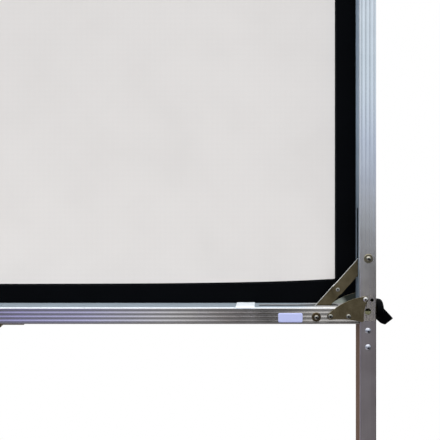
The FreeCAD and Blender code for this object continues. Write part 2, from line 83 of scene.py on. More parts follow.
# Oxide and painted shade in the grooves: what each tube's colour keeps there, and how far below a groove it
# is darkest.
rail_oxide_and_shade = 0.29
rail_groove_shade_sink = 1.3 * MM
upright_oxide_and_shade = 0.8
upright_groove_shade_heights = (880.0 * MM, 1010.0 * MM)
upright_lower_darkening = (840.0 * MM, 1010.0 * MM, 0.55)
upright_film = (800.0 * MM, 620.0 * MM, "#e5dbd2")
# Painted shade: the rail's underside, which faces down away from the light, is coated dark brown.
rail_underside_shade = ("#5c524c", "#4c433e", "Z", -0.25, -0.6)
shade_coat_roughness = 0.7
shade_coat_gloss = 0.05
# Painted shade on the upward walls of the grooves, which the light from above would make bright.
ledge_painted_shade = 0.3
ledge_reach = 13.5 * MM
ledge_slope = (0.3, 0.6)  # of the normal along Z, where the painted shade begins and is full
# Painted shade inside the tubes: how far in it begins, its blend, and what it leaves of the colour.
inside_half = 15.2 * MM
inside_blend = 0.2 * MM
inside_painted_shade = 0.03
slot_reach = 10.0 * MM
squarely = 0.5  # a face looks along an axis where its normal's part along it is above this
# Painted highlight on the rail's top near the brace's foot: where it begins and is full, and its metallic.
brace_foot_highlight = (1255.0 * MM, 1300.0 * MM)
highlight_metallic = 0.0


def linear(code):
    """Linear colour of an sRGB hex code."""
    parts = [int(code[i:i + 2], 16) / 255 for i in (1, 3, 5)]
    return [p / 12.92 if p <= 0.04045 else ((p + 0.055) / 1.055) ** 2.4 for p in parts] + [1.0]


def add(tree, kind, inputs=None, **settings):
    """Add a node with its settings, and set or link its inputs.
    Inputs go by name, or by number where a node has several of one name: a Mix takes its share at 0,
    two values at 2 and 3 or two colours at 6 and 7, and gives a colour at 2."""
    made = tree.nodes.new(kind)
    for name, value in settings.items():
        setattr(made, name, value)
    for name, value in (inputs or {}).items():
        if isinstance(value, bpy.types.NodeSocket):
            tree.links.new(value, made.inputs[name])
        else:
            made.inputs[name].default_value = value
    return made


def blank_material(name):
    """A new material with its node tree, empty but for the place on the piece that patterns follow."""
    made = bpy.data.materials.new(name)
    made.use_nodes = True
    tree = made.node_tree
    tree.nodes.clear()
    return made, tree, add(tree, "ShaderNodeTexCoord").outputs["Object"]


def finish_node(name, material):
    """Give a CAD node one material."""
    nodes[name].data.materials.clear()
    nodes[name].data.materials.append(material)


def extruded_aluminium(name, along, light, dark, roughness, ribs=None, groove_oxide_and_shade=1.0, groove_shade_sink=0.0, shade_coat=None,
                       lower_darkening=None, film=None, groove_shade_rising=None, plain_from=upright_plain_from,
                       plain_metallic=upright_plain_metallic, sawn_bright=False):
    """Mill finish aluminium: die lines along one axis, dull patches from handling, oxide and painted shade in
    the grooves.
    The plain faces are bluer and duller than the grooved ones.
    The ribs are given as their axis, the middle between two like tubes, half the distance between
    those tubes, and the pitch of the grooves.
    Oxide and painted shade lie a little below each groove, and painted shade darkens its lower, upward wall.
    The inside of a tube is painted dark as shade. The groove darkening may rise from none to full between two
    heights.
    A shade coat is a brown painted shade on the faces that turn away from the light: two colours, the
    normal's axis and range.
    A lower darkening makes the plain faces darker towards the bottom: its two heights and what it leaves of
    the colour.
    A film of brown dust covers the grooved faces there: the heights where it is none and full, its colour.
    A bright sawn wall shows in a rail's slot, and fades out near the brace's foot, where a painted highlight
    makes the top pale."""
    made, tree, at = blank_material(name)
    place = add(tree, "ShaderNodeSeparateXYZ", {"Vector": at}).outputs
    normal = add(tree, "ShaderNodeTexCoord").outputs["Normal"]
    face = add(tree, "ShaderNodeSeparateXYZ", {"Vector": normal}).outputs
    fronts = add(tree, "ShaderNodeMath", {0: face["Y"]}, operation="ABSOLUTE").outputs[0]
    plain = add(tree, "ShaderNodeMapRange", {
        "Value": fronts, "From Min": plain_from, "From Max": plain_from - plain_fade}).outputs[0]
    if ribs:
        axis, middle, half_way, pitch = ribs
        offset = add(tree, "ShaderNodeMath", {0: place[axis], 1: middle}, operation="SUBTRACT").outputs[0]
        offset = add(tree, "ShaderNodeMath", {0: offset}, operation="ABSOLUTE").outputs[0]
        offset = add(tree, "ShaderNodeMath", {0: offset, 1: half_way}, operation="SUBTRACT").outputs[0]
        across = add(tree, "ShaderNodeMath", {0: offset}, operation="ABSOLUTE").outputs[0]
        ribbed = add(tree, "ShaderNodeMath", {0: across, 1: ledge_reach}, operation="LESS_THAN").outputs[0]
        flush = add(tree, "ShaderNodeMath", {0: 1.0, 1: ribbed}, operation="SUBTRACT").outputs[0]
        plain = add(tree, "ShaderNodeMath", {0: plain, 1: flush}, operation="MULTIPLY").outputs[0]
        depth = add(tree, "ShaderNodeMath", {0: place["Y"]}, operation="ABSOLUTE").outputs[0]
    blued = plain
    if sawn_bright:
        sawn = add(tree, "ShaderNodeMath", {0: depth, 1: slot_reach}, operation="LESS_THAN").outputs[0]
        backward = add(tree, "ShaderNodeMath", {0: face["Y"], 1: -squarely}, operation="LESS_THAN").outputs[0]
        sawn = add(tree, "ShaderNodeMath", {0: sawn, 1: backward}, operation="MULTIPLY").outputs[0]
        # Painted highlight: near the brace's foot the plain faces lose their blue and turn fully diffuse, so
        # the top shows pale.
        along_rail = add(tree, "ShaderNodeMath", {0: place["X"]}, operation="ABSOLUTE").outputs[0]
        rubbed = add(tree, "ShaderNodeMapRange", {
            "Value": along_rail, "From Min": brace_foot_highlight[0], "From Max": brace_foot_highlight[1]}).outputs[0]
        sawn = add(tree, "ShaderNodeMath", {
            0: sawn, 1: rubbed}, operation="SUBTRACT", use_clamp=True).outputs[0]
        plain_metallic = add(tree, "ShaderNodeMix", {
            0: rubbed, 2: plain_metallic, 3: highlight_metallic}).outputs[0]
        blued = add(tree, "ShaderNodeMath", {
            0: plain, 1: rubbed}, operation="SUBTRACT", use_clamp=True).outputs[0]
        plain = add(tree, "ShaderNodeMath", {0: plain, 1: sawn}, operation="MAXIMUM").outputs[0]
    per_metre = [1.0 / die_line_width] * 3
    per_metre["XYZ".index(along)] = 1.0 / die_line_length
    lines_at = add(tree, "ShaderNodeMapping", {"Vector": at, "Scale": per_metre}).outputs["Vector"]
    lines = add(tree, "ShaderNodeTexNoise", {"Vector": lines_at, "Scale": 1.0, "Detail": 3.0}).outputs["Fac"]
    patches = add(tree, "ShaderNodeTexNoise", {
        "Vector": at, "Scale": 1.0 / handling_patch, "Detail": 4.0}).outputs["Fac"]
    blend = add(tree, "ShaderNodeMath", {0: lines, 1: patches}, operation="MULTIPLY").outputs[0]
    shade = add(tree, "ShaderNodeMapRange", {
        "Value": blend, "From Min": die_line_shade[0], "From Max": die_line_shade[1]}).outputs[0]
    colour = add(tree, "ShaderNodeMix", {
        0: shade, 6: linear(dark), 7: linear(light)}, data_type="RGBA").outputs[2]
    colour = add(tree, "ShaderNodeMix", {
        0: blued, 6: colour, 7: linear(plain_blue)}, data_type="RGBA", blend_type="MULTIPLY").outputs[2]
    if ribs:
        if groove_shade_rising:
            bare, full = groove_shade_rising
            groove_oxide_and_shade = add(tree, "ShaderNodeMapRange", {
                "Value": place["Z"], "From Min": bare, "From Max": full, "To Min": 1.0,
                "To Max": groove_oxide_and_shade}).outputs[0]
        # Oxide and painted shade: each groove is darkened along a cosine of the pitch, most a little below
        # its middle.
        turn = add(tree, "ShaderNodeMath", {0: offset, 1: groove_shade_sink}, operation="SUBTRACT").outputs[0]
        turn = add(tree, "ShaderNodeMath", {
            0: turn, 1: 2.0 * math.pi / pitch}, operation="MULTIPLY").outputs[0]
        rise = add(tree, "ShaderNodeMath", {0: turn}, operation="COSINE").outputs[0]
        oxide_and_shade_factor = add(tree, "ShaderNodeMapRange", {
            "Value": rise, "From Min": -1.0, "From Max": 1.0, "To Min": groove_oxide_and_shade, "To Max": 1.0}).outputs[0]
        # Painted shade: the upward walls in the grooves are darkened where light from above falls on them.
        upward = add(tree, "ShaderNodeMapRange", {
            "Value": face["Z"], "From Min": ledge_slope[0], "From Max": ledge_slope[1],
            "To Max": 1.0 - ledge_painted_shade}).outputs[0]
        ledge_shading = add(tree, "ShaderNodeMath", {0: ribbed, 1: upward}, operation="MULTIPLY").outputs[0]
        ledge_shading = add(tree, "ShaderNodeMath", {0: 1.0, 1: ledge_shading}, operation="SUBTRACT").outputs[0]
        oxide_and_shade_factor = add(tree, "ShaderNodeMath", {0: oxide_and_shade_factor, 1: ledge_shading}, operation="MULTIPLY").outputs[0]
        # Painted shade: the faces inside the tube are darkened nearly to black.
        widest = add(tree, "ShaderNodeMath", {0: across, 1: depth}, operation="MAXIMUM").outputs[0]
        outside = add(tree, "ShaderNodeMapRange", {
            "Value": widest, "From Min": inside_half - inside_blend, "From Max": inside_half}).outputs[0]
        ahead = add(tree, "ShaderNodeMath", {0: face[axis]}, operation="ABSOLUTE").outputs[0]
        ahead = add(tree, "ShaderNodeMath", {0: ahead, 1: squarely}, operation="GREATER_THAN").outputs[0]
        beyond = add(tree, "ShaderNodeMath", {0: depth, 1: slot_reach}, operation="GREATER_THAN").outputs[0]
        uncut = add(tree, "ShaderNodeMath", {0: ahead, 1: beyond}, operation="MAXIMUM").outputs[0]
        if sawn_bright:
            uncut = add(tree, "ShaderNodeMath", {0: uncut, 1: sawn}, operation="MAXIMUM").outputs[0]
        outside = add(tree, "ShaderNodeMath", {0: outside, 1: uncut}, operation="MULTIPLY").outputs[0]
        outside = add(tree, "ShaderNodeMath", {0: outside, 1: inside_painted_shade}, operation="MAXIMUM").outputs[0]
        oxide_and_shade_factor = add(tree, "ShaderNodeMath", {0: oxide_and_shade_factor, 1: outside}, operation="MULTIPLY").outputs[0]
        colour = add(tree, "ShaderNodeMix", {
            0: 1.0, 6: colour, 7: oxide_and_shade_factor}, data_type="RGBA", blend_type="MULTIPLY").outputs[2]
    # The plain faces grow darker towards the bottom.
    if lower_darkening:
        foot, clear, left = lower_darkening
        darkening_left = add(tree, "ShaderNodeMapRange", {
            "Value": place["Z"], "From Min": foot, "From Max": clear, "To Min": left,
            "To Max": 1.0}).outputs[0]
        colour = add(tree, "ShaderNodeMix", {
            0: plain, 6: colour, 7: darkening_left}, data_type="RGBA", blend_type="MULTIPLY").outputs[2]
    if film:
        none, full, dust_brown = film
        cover = add(tree, "ShaderNodeMapRange", {
            "Value": place["Z"], "From Min": none, "From Max": full}).outputs[0]
        cover = add(tree, "ShaderNodeMath", {
            0: cover, 1: plain}, operation="SUBTRACT", use_clamp=True).outputs[0]
        colour = add(tree, "ShaderNodeMix", {
            0: cover, 6: colour, 7: linear(dust_brown)}, data_type="RGBA", blend_type="MULTIPLY").outputs[2]
    rough = add(tree, "ShaderNodeMapRange", {
        "Value": patches, "From Min": handling_range[0], "From Max": handling_range[1],
        "To Min": roughness + handling_roughness[0],
        "To Max": roughness + handling_roughness[1]}).outputs[0]
    rough = add(tree, "ShaderNodeMix", {0: plain, 2: rough, 3: plain_roughness}).outputs[0]
    metallic = add(tree, "ShaderNodeMix", {0: plain, 2: grooved_metallic, 3: plain_metallic}).outputs[0]
    bump = add(tree, "ShaderNodeBump", {
        "Height": lines, "Strength": die_line_bump, "Distance": die_line_depth}).outputs[0]
    surface = add(tree, "ShaderNodeBsdfPrincipled", {
        "Base Color": colour, "Metallic": metallic, "Roughness": rough, "Normal": bump}).outputs[0]
    # Painted shade: a dull brown coat over the faces that turn one way, away from the light.
    if shade_coat:
        shade_brown, shade_brown_dark, axis, none, full = shade_coat
        cover = add(tree, "ShaderNodeMapRange", {
            "Value": face[axis], "From Min": none, "From Max": full}).outputs[0]
        shade_brown = add(tree, "ShaderNodeMix", {
            0: patches, 6: linear(shade_brown), 7: linear(shade_brown_dark)}, data_type="RGBA").outputs[2]
        coat = add(tree, "ShaderNodeBsdfPrincipled", {
            "Base Color": shade_brown, "Roughness": shade_coat_roughness,
            "Specular IOR Level": shade_coat_gloss}).outputs[0]
        surface = add(tree, "ShaderNodeMixShader", {0: cover, 1: surface, 2: coat}).outputs[0]
    add(tree, "ShaderNodeOutputMaterial", {"Surface": surface})
    return made


upright_ribs = ("X", 0.0, upright_x, upright_rib_pitch)
rail_ribs = ("Z", rails_middle, rails_middle - rail_z, rail_rib_pitch)
upright_metal = extruded_aluminium("mill_aluminium_upright", "Z", mill_grey, mill_dull, mill_roughness,
                                   upright_ribs, upright_oxide_and_shade, lower_darkening=upright_lower_darkening, film=upright_film,
                                   groove_shade_rising=upright_groove_shade_heights)
rail_metal = extruded_aluminium("mill_aluminium_rail", "X", rail_grey, rail_dull, mill_roughness,
                                rail_ribs, rail_oxide_and_shade, rail_groove_shade_sink, rail_underside_shade,
                                plain_from=rail_plain_from, plain_metallic=rail_plain_metallic,
                                sawn_bright=True)
for side in both_sides:
    finish_node(f"{side}_upright", upright_metal)
for level in both_levels:
    for number in rail_numbers:
        finish_node(f"{level}_rail_{number}", rail_metal)


# The legs: plain aluminium tube of the same size, with a spigot of smaller tube riveted in the top.
# They are drawn with no grooves, and their mill finish is darker and duller than the frame's.
leg_grey = "#ada5a7"
leg_dull = "#9a9294"
# Painted shade: the leg's sides that face -X, away from the light, are coated brown.
leg_side_shade = ("#674f42", "#4f3d33", "X", -0.75, -0.95)
leg_roughness = 0.3
spigot_grey = "#b8b48c"
spigot_dull = "#8f8b66"
spigot_roughness = 0.35

leg_metal = extruded_aluminium("mill_aluminium_leg", "Z", leg_grey, leg_dull, leg_roughness,
                               shade_coat=leg_side_shade)
spigot_metal = extruded_aluminium("mill_aluminium_spigot", "Z", spigot_grey, spigot_dull, spigot_roughness)
for side in both_sides:
    finish_node(f"{side}_leg", leg_metal)
    finish_node(f"{side}_leg_spigot", spigot_metal)


# The corner plates, brace links and hinges: pressed steel sheet with a dull olive nickel plate.
# Plating leaves a soft cloudy lustre with small dark specks. Sheared edges that look up or down are bare
# and painted pale as a highlight; the corner plates' inner faces get painted light next to the brace's foot,
# painted shadow beyond.
olive_light = "#796d54"
olive_dark = "#5f553d"
olive_roughness = 0.34
olive_metallic = 0.9
# Painted highlight: the bare sheared edges that look up or down are made near white, so that they show as
# bright lines.
sheared_edge_highlight = "#eeeeea"
sheared_metallic = 0.3
sheared_from = (0.7, 0.3)  # of the normal along Y, from a plate's face to its edge
highlight_slope = (0.45, 0.6)  # of the normal along Z, from a plated edge to a bare one painted pale as a highlight
corner_edge_highlight = "#857b64"
# Painted light and shadow on the corner plates' inner faces: lit next to the brace's foot, in shadow farther
# off.
corner_inner_light_and_shade = ("#bac0b6", "#3a3e37", (-54.0, 10.0), 14.0 * MM, 24.0 * MM)
inner_face_metallic = 0.3
elbow_zinc = "#b9b8b1"
elbow_places = ((-54.2, 46.0),)
elbow_head = 3.5 * MM
# Painted shade: the hollow in each rivet and bolt head is darkened.
hollow_painted_shade = "#2c2a26"
hollow_radius = 1.9 * MM
plate_cloud = 16.0 * MM
plate_speck = 1.6 * MM  # real specks are under half a millimetre: drawn coarser, so that they show
plate_shade = (0.12, 0.38)
cloud_range = (0.3, 0.7)
cloud_roughness = (-0.05, 0.07)
speck_bump = 0.2
speck_depth = 0.05 * MM


def plated_steel(name, light, dark, roughness, edge_highlight=None, inner=None, heads=(), metallic=1.0, inner_light_and_shade=None):
    """Plated steel: cloudy colour, fine specks and a faintly uneven surface.
    The edge highlight is the colour of a plate's bare sheared edges that look up or down, painted pale as a
    highlight. An inner colour shows up to a depth in Y.
    An inner light and shade is painted on the dull faces that look at the tube: painted light round a place
    and painted shadow farther off. It gives its lit and its dark colour, that place, and the distances where
    one ends and the other begins.
    Rivet heads and their hollows get a colour inside a radius round places. A place is given from the
    corner where an upright's axis meets a rail's, and mirrored to all four corners."""
    made, tree, at = blank_material(name)
    clouds = add(tree, "ShaderNodeTexNoise", {
        "Vector": at, "Scale": 1.0 / plate_cloud, "Detail": 5.0}).outputs["Fac"]
    specks = add(tree, "ShaderNodeTexNoise", {
        "Vector": at, "Scale": 1.0 / plate_speck, "Detail": 2.0}).outputs["Fac"]
    both = add(tree, "ShaderNodeMath", {0: clouds, 1: specks}, operation="MULTIPLY").outputs[0]
    shade = add(tree, "ShaderNodeMapRange", {
        "Value": both, "From Min": plate_shade[0], "From Max": plate_shade[1]}).outputs[0]
    colour = add(tree, "ShaderNodeMix", {
        0: shade, 6: linear(dark), 7: linear(light)}, data_type="RGBA").outputs[2]
    parts = add(tree, "ShaderNodeSeparateXYZ", {"Vector": at}).outputs
    level = add(tree, "ShaderNodeMath", {0: parts["Z"], 1: rails_middle}, operation="SUBTRACT").outputs[0]
    level = add(tree, "ShaderNodeMath", {0: level}, operation="ABSOLUTE").outputs[0]
    along = add(tree, "ShaderNodeMath", {0: parts["X"]}, operation="ABSOLUTE").outputs[0]
    flat = add(tree, "ShaderNodeCombineXYZ", {"X": along, "Y": level}).outputs[0]

    def away_from(x, z):
        """Distance from a place at the corner."""
        centre = (upright_x + x * MM, rails_middle - rail_z - z * MM, 0.0)
        return add(tree, "ShaderNodeVectorMath", {0: flat, 1: centre}, operation="DISTANCE").outputs["Value"]

    if edge_highlight or inner_light_and_shade:
        normal = add(tree, "ShaderNodeTexCoord").outputs["Normal"]
    if edge_highlight:
        face = add(tree, "ShaderNodeSeparateXYZ", {"Vector": normal}).outputs
        depth = add(tree, "ShaderNodeMath", {0: face["Y"]}, operation="ABSOLUTE").outputs[0]
        sheared = add(tree, "ShaderNodeMapRange", {
            "Value": depth, "From Min": sheared_from[0], "From Max": sheared_from[1]}).outputs[0]
        slope = add(tree, "ShaderNodeMath", {0: face["Z"]}, operation="ABSOLUTE").outputs[0]
        rubbed = add(tree, "ShaderNodeMapRange", {
            "Value": slope, "From Min": highlight_slope[0], "From Max": highlight_slope[1]}).outputs[0]
        bare = add(tree, "ShaderNodeMath", {0: sheared, 1: rubbed}, operation="MULTIPLY").outputs[0]
        colour = add(tree, "ShaderNodeMix", {
            0: bare, 6: colour, 7: linear(edge_highlight)}, data_type="RGBA").outputs[2]
        metallic = add(tree, "ShaderNodeMix", {0: bare, 2: metallic, 3: sheared_metallic}).outputs[0]
    if inner_light_and_shade:
        lit_colour, deep, lit_place, near, far = inner_light_and_shade
        # Painted light and shadow: the faces that look at the tube are pale near a place and dark farther
        # off.
        facing = add(tree, "ShaderNodeVectorMath", {0: normal, 1: at}, operation="MULTIPLY").outputs[0]
        facing = add(tree, "ShaderNodeSeparateXYZ", {"Vector": facing}).outputs["Y"]
        facing = add(tree, "ShaderNodeMath", {
            0: facing, 1: -squarely * tube_half}, operation="LESS_THAN").outputs[0]
        away = add(tree, "ShaderNodeMapRange", {
            "Value": away_from(*lit_place), "From Min": near, "From Max": far}).outputs[0]
        inside = add(tree, "ShaderNodeMix", {
            0: away, 6: linear(lit_colour), 7: linear(deep)}, data_type="RGBA").outputs[2]
        colour = add(tree, "ShaderNodeMix", {0: facing, 6: colour, 7: inside}, data_type="RGBA").outputs[2]
        metallic = add(tree, "ShaderNodeMix", {0: facing, 2: metallic, 3: inner_face_metallic}).outputs[0]
    if inner:
        code, reach = inner
        depth = add(tree, "ShaderNodeMath", {0: parts["Y"]}, operation="ABSOLUTE").outputs[0]
        under = add(tree, "ShaderNodeMath", {0: depth, 1: reach}, operation="LESS_THAN").outputs[0]
        colour = add(tree, "ShaderNodeMix", {
            0: under, 6: colour, 7: linear(code)}, data_type="RGBA").outputs[2]
    for code, radius, places in heads:
        for x, z in places:
            near = add(tree, "ShaderNodeMath", {
                0: away_from(x, z), 1: radius}, operation="LESS_THAN").outputs[0]
            colour = add(tree, "ShaderNodeMix", {
                0: near, 6: colour, 7: linear(code)}, data_type="RGBA").outputs[2]
    rough = add(tree, "ShaderNodeMapRange", {
        "Value": clouds, "From Min": cloud_range[0], "From Max": cloud_range[1],
        "To Min": roughness + cloud_roughness[0], "To Max": roughness + cloud_roughness[1]}).outputs[0]
    bump = add(tree, "ShaderNodeBump", {
        "Height": specks, "Strength": speck_bump, "Distance": speck_depth}).outputs[0]
    metal = add(tree, "ShaderNodeBsdfPrincipled", {
        "Base Color": colour, "Metallic": metallic, "Roughness": rough, "Normal": bump}).outputs[0]
    add(tree, "ShaderNodeOutputMaterial", {"Surface": metal})
    return made


elbow_heads = ((elbow_zinc, elbow_head, elbow_places), (hollow_painted_shade, hollow_radius, elbow_places))
olive_nickel = plated_steel("olive_nickel_steel", olive_light, olive_dark, olive_roughness,
                            metallic=olive_metallic)
olive_with_heads = plated_steel("olive_nickel_with_rivet", olive_light, olive_dark, olive_roughness,
                                edge_highlight=sheared_edge_highlight, heads=elbow_heads, metallic=olive_metallic)
corner_nickel = plated_steel("olive_nickel_corner", olive_light, olive_dark, olive_roughness,
                             edge_highlight=corner_edge_highlight, metallic=olive_metallic, inner_light_and_shade=corner_inner_light_and_shade)
corners = [f"{level}_{side}" for level in both_levels for side in both_sides]
for corner in corners:
    finish_node(f"{corner}_corner_plates", corner_nickel)
    for piece in ("rail_link", "upright_link"):
        finish_node(f"{corner}_{piece}", olive_with_heads)
for level in both_levels:
    for number in rail_numbers:
        finish_node(f"{level}_hinge_{number}", olive_nickel)


# The rivets, bolts and washers: zinc plated steel, bright on the leg's domed rivets, dull on the rest.
# The washers under the brace bolts are olive like the plates, so the colour changes with depth.
# Head hollows are painted dark as shade, leg rivets get a painted dark reflection, the pivot a painted
# highlight.
zinc_light = "#b4b5bd"
zinc_dark = "#9c9da3"
zinc_roughness = 0.27
zinc_metallic = 0.8
dull_light = "#98958c"
dull_dark = "#7a776e"
dull_roughness = 0.3
washer_olive = "#584d3b"
# Painted light: the upright bolts' washers are a paler, lit copy of the rail bolts' olive washers.
washer_lit_copy = "#7c7665"
washer_top = 17.22 * MM
# Painted reflection: a dark spot a little below the middle of each leg rivet's dome.
leg_rivet_dark_reflection = "#2e2e36"
leg_reflection_radius = 1.9 * MM
leg_reflection_places = ((0.2, -29.2), (0.2, -60.2))
plate_rivet_places = ((-71.0, -1.0), (-37.0, -1.0))
pivot_places = ((-5.0, 31.0),)
# Painted highlight: a pale ring on the pivot rivet's head.
pivot_painted_highlight = "#cdc8c2"
pivot_radius = 4.6 * MM
bolt_places = ((-97.4, -2.4), (0.75, 107.7))
# Painted shade: a dark ring round each rail bolt's head, on its washer.
bolt_ring_shade = "#473e30"
bolt_ring_radius = 5.6 * MM
bolt_head = "#96938b"
bolt_head_radius = 3.9 * MM

hollow_shades = (hollow_painted_shade, hollow_radius, plate_rivet_places + pivot_places + bolt_places)
bolt_heads = (bolt_head, bolt_head_radius, bolt_places)
leg_rivet_reflections = ((leg_rivet_dark_reflection, leg_reflection_radius, leg_reflection_places),)
upright_heads = ((washer_lit_copy, bolt_ring_radius, bolt_places), bolt_heads,
                 (pivot_painted_highlight, pivot_radius, pivot_places), hollow_shades)
rail_heads = ((bolt_ring_shade, bolt_ring_radius, bolt_places), bolt_heads, hollow_shades)
bright_zinc = plated_steel("bright_zinc_steel", zinc_light, zinc_dark, zinc_roughness, heads=leg_rivet_reflections,
                           metallic=zinc_metallic)
upright_zinc = plated_steel("dull_zinc_on_lit_olive", dull_light, dull_dark, dull_roughness,
                            inner=(washer_lit_copy, washer_top), heads=upright_heads)
dull_zinc = plated_steel("dull_zinc_on_olive", dull_light, dull_dark, dull_roughness,
                         inner=(washer_olive, washer_top), heads=rail_heads)
for side in both_sides:
    for piece in ("leg_rivets", "clamp_screw", "foot_bolt"):
        finish_node(f"{side}_{piece}", bright_zinc)
    finish_node(f"{side}_upright_fasteners", upright_zinc)
for corner in corners:
    finish_node(f"{corner}_rail_fasteners", dull_zinc)


# The hinge rivets: four low domed zinc rivets through each leaf into its rail, closed from outside.
# The rivet gun leaves a small round hollow in each head.
hinge_x = 689.75 * MM
rail_joints = ((1, hinge_x), (2, 0.0), (3, -hinge_x))
middle_joint = 2
hinge_leaf_outside = 18.2 * MM
hinge_rivet_reaches = (16.0 * MM, 34.0 * MM)
hinge_rivet_side = 6.0 * MM
hinge_rivet_line = ((3.4, 0.0), (3.4, 0.25), (3.1, 0.75), (2.4, 1.1), (1.5, 1.25), (1.3, 1.1), (1.2, 0.7))
turned_steps = 20


def mesh_piece(name, verts, faces, material):
    """A smooth-shaded mesh object made of these points and faces."""
    mesh = bpy.data.meshes.new(name)
    mesh.from_pydata(verts, [], faces)
    mesh.update()
    mesh.materials.append(material)
    for polygon in mesh.polygons:
        polygon.use_smooth = True
    made = bpy.data.objects.new(name, mesh)
    bpy.context.scene.collection.objects.link(made)
    return made


def turned(verts, faces, line, centre, axis, across):
    """Add a closed turned shape: a line of radii and heights in millimetres, revolved about an axis."""
    third = axis.cross(across)
    first = len(verts)
    for radius, height in line:
        for step in range(turned_steps):
            angle = 2.0 * math.pi * step / turned_steps
            spoke = across * math.cos(angle) + third * math.sin(angle)
            verts.append(centre + axis * height * MM + spoke * radius * MM)
    for ring in range(len(line) - 1):
        low = first + ring * turned_steps
        high = low + turned_steps
        for step in range(turned_steps):
            following = (step + 1) % turned_steps
            faces.append((low + step, low + following, high + following, high + step))
    faces.append(tuple(first + step for step in reversed(range(turned_steps))))
    faces.append(tuple(len(verts) - turned_steps + step for step in range(turned_steps)))


for level, axis_z, outward in (("bottom", rail_z, -1.0), ("top", top_rail_z, 1.0)):
    for number in rail_numbers:
        verts = []
        faces = []
        for joint, joint_x in rail_joints:
            if number not in (joint, joint + 1):
                continue
            along = 1.0 if number == joint else -1.0
            up = -outward if joint == middle_joint else outward
            for reach in hinge_rivet_reaches:
                for y in (-hinge_rivet_side, hinge_rivet_side):
                    centre = Vector((joint_x + along * reach, y, axis_z + up * hinge_leaf_outside))
                    turned(verts, faces, hinge_rivet_line, centre, Vector((0, 0, up)), Vector((1, 0, 0)))
        rivets = mesh_piece(f"{level}_rail_{number}_hinge_rivets", verts, faces, bright_zinc)
        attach(rivets, f"{level}_rail_{number}")


# The clamp on each upright: a brass bush pressed in the tube's wall and a black lever knob.
# The knob and the caps on the uprights are moulded ABS, dull with a fine spark-eroded grain.
# The bush is blackened brass, which shows a dark brown.
abs_black = "#020203"
abs_worn = "#040405"
abs_grain = 0.8 * MM  # a real grain is about 0.1 mm: drawn coarser, so that it shows
abs_roughness = 0.55
abs_gloss = 0.02
plastic_ior = 1.5
grain_bump = 0.3
grain_depth = 0.1 * MM
rubbed_grains = 24.0
rubbed_range = (0.35, 0.75)
brass_brown = "#4a3b22"
brass_dark = "#2e2415"
brass_roughness = 0.4


def moulded_plastic(name, dark, light, grain, roughness, gloss):
    """Moulded plastic, paint or thread: fine grain in the surface and slight rubbed patches."""
    made, tree, at = blank_material(name)
    grains = add(tree, "ShaderNodeTexNoise", {
        "Vector": at, "Scale": 1.0 / grain, "Detail": 2.0}).outputs["Fac"]
    rubbed = add(tree, "ShaderNodeTexNoise", {
        "Vector": at, "Scale": 1.0 / (rubbed_grains * grain), "Detail": 4.0}).outputs["Fac"]
    shade = add(tree, "ShaderNodeMapRange", {
        "Value": rubbed, "From Min": rubbed_range[0], "From Max": rubbed_range[1]}).outputs[0]
    colour = add(tree, "ShaderNodeMix", {
        0: shade, 6: linear(dark), 7: linear(light)}, data_type="RGBA").outputs[2]
    bump = add(tree, "ShaderNodeBump", {
        "Height": grains, "Strength": grain_bump, "Distance": grain_depth}).outputs[0]
    skin = add(tree, "ShaderNodeBsdfPrincipled", {
        "Base Color": colour, "Roughness": roughness, "IOR": plastic_ior, "Specular IOR Level": gloss,
        "Normal": bump}).outputs[0]
    add(tree, "ShaderNodeOutputMaterial", {"Surface": skin})
    return made


black_abs = moulded_plastic("black_abs", abs_black, abs_worn, abs_grain, abs_roughness, abs_gloss)
brass = plated_steel("blackened_brass", brass_brown, brass_dark, brass_roughness)
for side in both_sides:
    finish_node(f"{side}_clamp_knob", black_abs)
    finish_node(f"{side}_end_cap", black_abs)
    finish_node(f"{side}_clamp_bush", brass)


# The cross feet: welded steel tube with a black powder coat, and rubber caps on the floor ends.
# The coat has a faint orange-peel surface, and the rubber is matt and slightly grey.
coat_black = "#17181a"
coat_worn = "#232426"
coat_peel = 1.8 * MM
coat_roughness = 0.5
coat_gloss = 0.4
rubber_black = "#121212"
rubber_grey = "#1d1d1d"
rubber_roughness = 0.75
rubber_gloss = 0.3

powder_coat = moulded_plastic("black_powder_coat", coat_black, coat_worn, coat_peel, coat_roughness,
                              coat_gloss)
rubber = moulded_plastic("black_rubber", rubber_black, rubber_grey, abs_grain, rubber_roughness,
                         rubber_gloss)
for side in both_sides:
    finish_node(f"{side}_foot", powder_coat)
    finish_node(f"{side}_foot_caps", rubber)


# The screen's fabric: white polyester weave, coated so that it doesn't show light from behind.
# It is sewn to a black border and held by snaps all round, which pull it slightly into waves.
# It looks like a matt, even white, a little greyer on the coated side.
fabric_y = 20.6 * MM
border_inside = 39.0 * MM
border_low = 35.3 * MM
sewn_under = 6.0 * MM
corner_pull = 14.0 * MM
corner_pull_reach = 165.0 * MM
wave_depth = 1.1 * MM
wave_turns = (9.1, 7.3)  # radians for each metre across and up
wave_start = (0.7, 1.1)
fine_turns = (23.0, 11.0)
fine_share = 0.35  # of the broad wave's depth
held_reach = 70.0 * MM
sheet_columns = 150
sheet_rows = 84
fabric_white = "#ebe4dd"
fabric_shade = "#e2dbd4"
fabric_coat = "#dfe0e0"
fabric_roughness = 0.85
fabric_gloss = 0.3
thread_spacing = 2.4 * MM  # real threads lie about 0.3 mm apart: drawn coarser, so that they show
thread_distortion = 0.6
wave_node_turns = 20.0  # the wave texture turns 20 radians for each unit of its scale
weave_shade = (0.1, 0.8)
weave_bump = 0.15
weave_depth = 0.15 * MM
dye_cloud = 1000.0 / 9.0 * MM  # nine clouds to the metre
cloth_ior = 1.45


